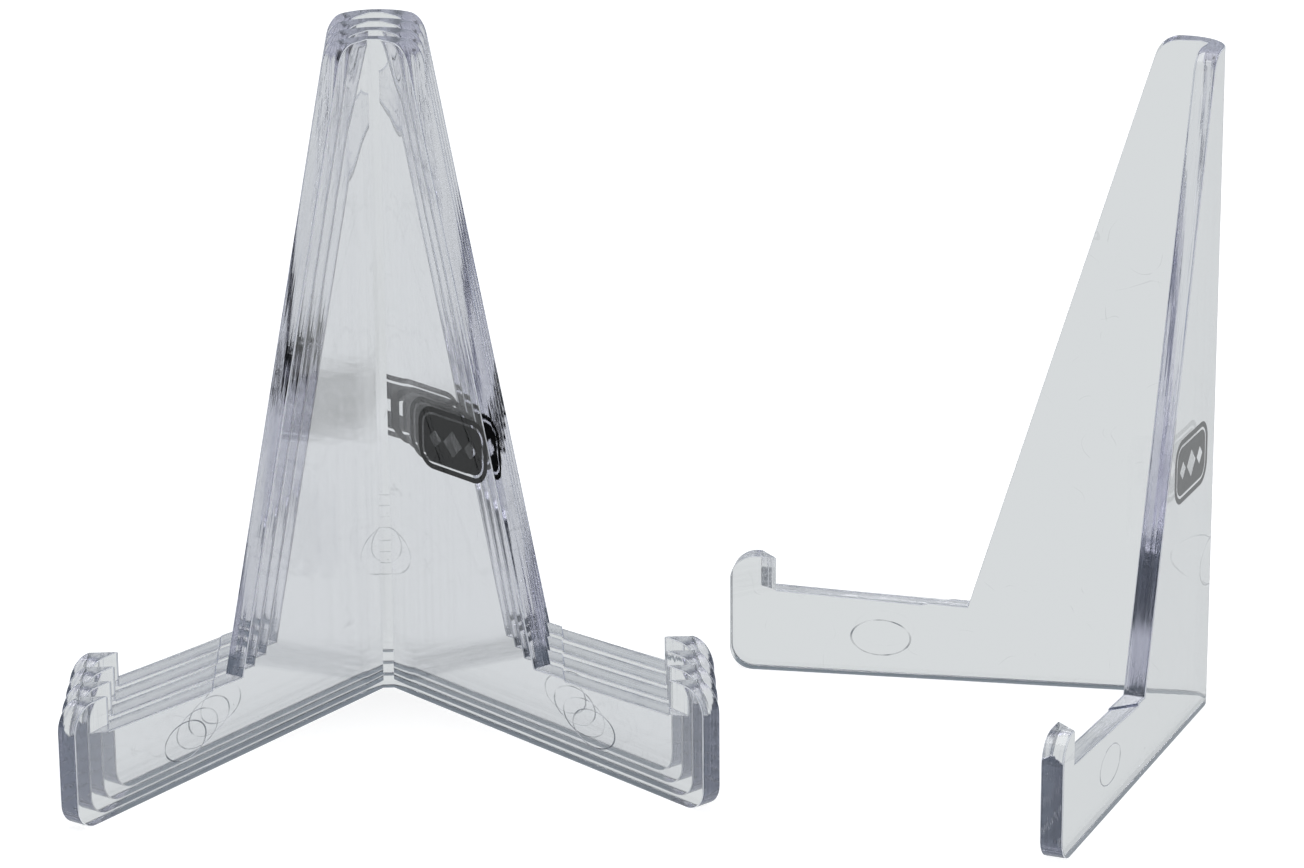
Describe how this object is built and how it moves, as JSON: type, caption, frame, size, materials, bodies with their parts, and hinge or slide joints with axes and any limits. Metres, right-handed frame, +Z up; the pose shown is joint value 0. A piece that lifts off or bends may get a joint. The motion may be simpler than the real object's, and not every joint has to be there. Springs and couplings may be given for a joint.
{
  "type": "knife display stand",
  "caption": "Clear moulded V-shaped easel stands for showing a pocket knife across two low lipped arms: a nest of them and one standing alone.",
  "frame": {"origin": "on the floor under the crease of the rearmost nested stand", "axes": "+Z up; -Y is the way the nest opens and each stand is pulled off it; +X runs from the nest to the single stand"},
  "size_m": [0.1677, 0.0963, 0.1],
  "materials": {
    "clear_plastic": "polished clear polystyrene"
  },
  "bodies": {
    "nested_stand_4": {"nested_stand_4": "clear_plastic"},
    "nested_stand_3": {"nested_stand_3": "clear_plastic"},
    "nested_stand_2": {"nested_stand_2": "clear_plastic"},
    "nested_stand_1": {"nested_stand_1": "clear_plastic"},
    "single_stand": {"single_stand": "clear_plastic"}
  },
  "joints": [
    {"name": "pull_stand_3", "type": "slide", "parent": "nested_stand_4", "child": "nested_stand_3", "axis": [0, -1, 0], "range_m": [0, 0.06]},
    {"name": "pull_stand_2", "type": "slide", "parent": "nested_stand_3", "child": "nested_stand_2", "axis": [0, -1, 0], "range_m": [0, 0.06]},
    {"name": "pull_stand_1", "type": "slide", "parent": "nested_stand_2", "child": "nested_stand_1", "axis": [0, -1, 0], "range_m": [0, 0.06]},
    {"name": "lift_single_stand", "type": "slide", "parent": "nested_stand_4", "child": "single_stand", "axis": [0, 0, 1], "range_m": [0, 0.12]}
  ]
}
